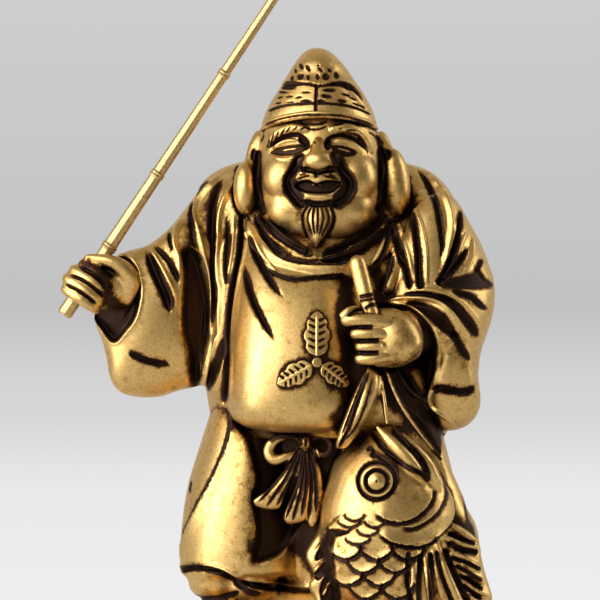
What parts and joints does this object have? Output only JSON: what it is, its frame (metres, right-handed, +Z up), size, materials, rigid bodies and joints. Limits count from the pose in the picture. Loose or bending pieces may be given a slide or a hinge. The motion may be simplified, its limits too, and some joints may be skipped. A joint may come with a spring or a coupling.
{
  "type": "ebisu figure",
  "caption": "Small cast-metal statue of the laughing god Ebisu holding a sea bream and a loose bamboo rod, standing on a low oval plinth.",
  "frame": {"origin": "centre of the plinth's underside, on the surface it stands on", "axes": "+Z up, the figure faces -Y, +X to the viewer's right, which is the figure's left"},
  "size_m": [0.1106, 0.0688, 0.1981],
  "materials": {
    "figure": "satin gold, wiped back from a black-brown patina that stays in the folds",
    "rod": "dull sandy gold, slightly grainy"
  },
  "bodies": {
    "root": {"figure": "figure", "rod": "rod"}
  },
  "joints": []
}
